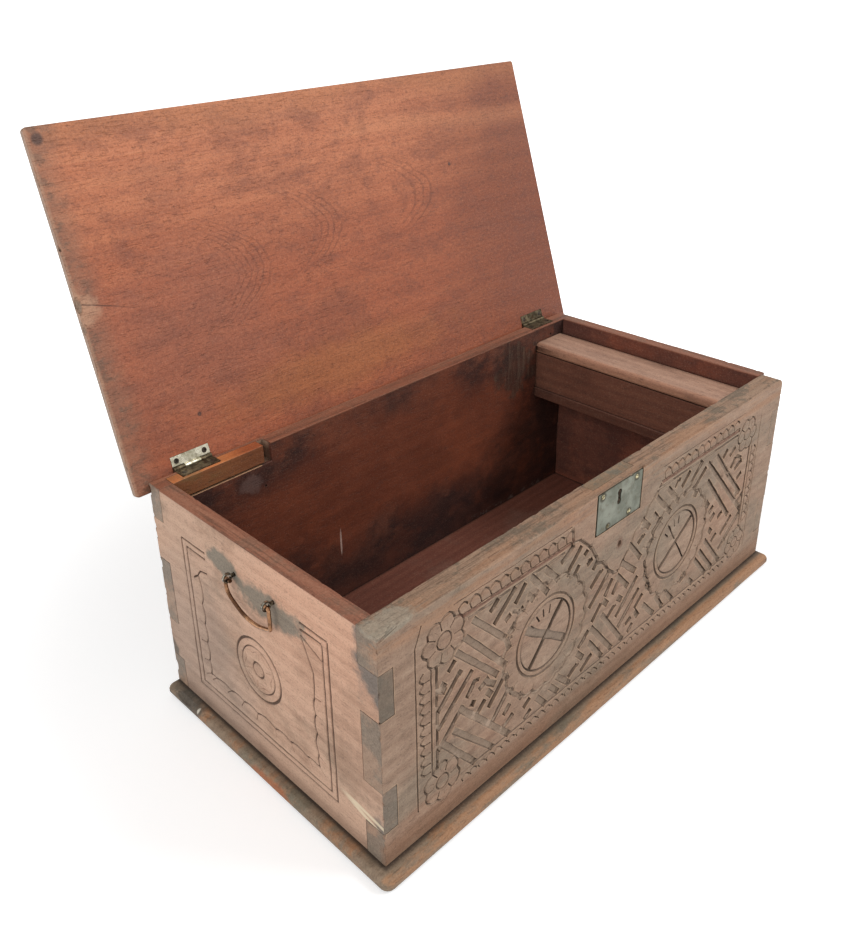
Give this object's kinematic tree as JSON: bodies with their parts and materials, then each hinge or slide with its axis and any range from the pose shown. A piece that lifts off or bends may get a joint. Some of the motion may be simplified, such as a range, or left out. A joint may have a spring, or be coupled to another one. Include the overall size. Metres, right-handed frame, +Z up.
{
  "type": "damchiya chest",
  "caption": "small carved teak chest with finger-jointed corners, a hinged lid, a lidded till, a lock plate and bail handles",
  "frame": {"origin": "on the floor, under the middle of the carcass's footprint", "axes": "+X right along the front, +Y to the back, +Z up; the lid stands open on its stop"},
  "size_m": [0.5844, 0.3983, 0.5054],
  "materials": {
    "carcass_wood": "weathered teak, dry and worn, with traces of brown stain",
    "base_wood": "weathered grey-brown teak with rubbed edges",
    "lid_wood": "teak with a worn red-brown stain, low sheen",
    "patch_wood": "newer let-in teak, orange",
    "till_wood": "stained teak, rubbed along the edges",
    "hinge_metal": "old nickel-plated steel",
    "rim_leaf_metal": "dulled brown-grey steel",
    "lock_metal": "grey sheet iron, lightly rusted",
    "lock_works_metal": "plain iron",
    "dome_nail_brass": "worn brass",
    "bail_metal": "coppery brass rubbed bright on the outside",
    "eye_metal": "dark iron",
    "nail_iron": "dark forged iron"
  },
  "bodies": {
    "carcass": {"bottom_board": "base_wood", "front_board": "carcass_wood", "back_board": "carcass_wood", "left_end_board": "carcass_wood", "right_end_board": "carcass_wood", "hinge_rim_patch": "patch_wood", "lock_rim_patch": "carcass_wood", "bottom_board_nails": "nail_iron", "till_bottom_board": "till_wood", "till_front_board": "till_wood", "lock_plate": "lock_metal", "lock_plate_nails": "dome_nail_brass", "lock_case": "lock_works_metal", "lock_spring": "lock_works_metal", "lock_cap": "lock_metal", "lock_cap_screws": "nail_iron", "left_handle_eyes": "eye_metal", "right_handle_eyes": "eye_metal", "left_hinge_rim_leaf": "rim_leaf_metal", "left_hinge_pin": "hinge_metal", "right_hinge_rim_leaf": "rim_leaf_metal", "right_hinge_pin": "rim_leaf_metal", "hinge_rim_screws": "nail_iron"},
    "lid": {"lid_board": "lid_wood", "left_hinge_lid_leaf": "hinge_metal", "right_hinge_lid_leaf": "rim_leaf_metal", "hinge_lid_screws": "nail_iron"},
    "till_lid_leaf": {"till_lid": "till_wood"},
    "left_bail": {"left_bail_handle": "bail_metal"},
    "right_bail": {"right_bail_handle": "bail_metal"},
    "bolt": {"lock_bolt": "lock_works_metal"}
  },
  "joints": [
    {"name": "lid_hinge", "type": "hinge", "parent": "carcass", "child": "lid", "pos_m": [0, 0.1445, 0.2225], "axis": [-1, 0, 0], "range_deg": [-107.79, 0]},
    {"name": "till_lid_pivot", "type": "hinge", "parent": "carcass", "child": "till_lid_leaf", "pos_m": [0.2595, 0, 0.2], "axis": [0, 1, 0], "range_deg": [0, 91]},
    {"name": "left_bail_swing", "type": "hinge", "parent": "carcass", "child": "left_bail", "pos_m": [-0.2865, 0, 0.189], "axis": [0, 1, 0], "range_deg": [-8, 170]},
    {"name": "right_bail_swing", "type": "hinge", "parent": "carcass", "child": "right_bail", "pos_m": [0.2865, 0, 0.189], "axis": [0, -1, 0], "range_deg": [-8, 170]},
    {"name": "lock_bolt_slide", "type": "slide", "parent": "carcass", "child": "bolt", "axis": [1, 0, 0], "range_m": [0, 0.008]}
  ]
}
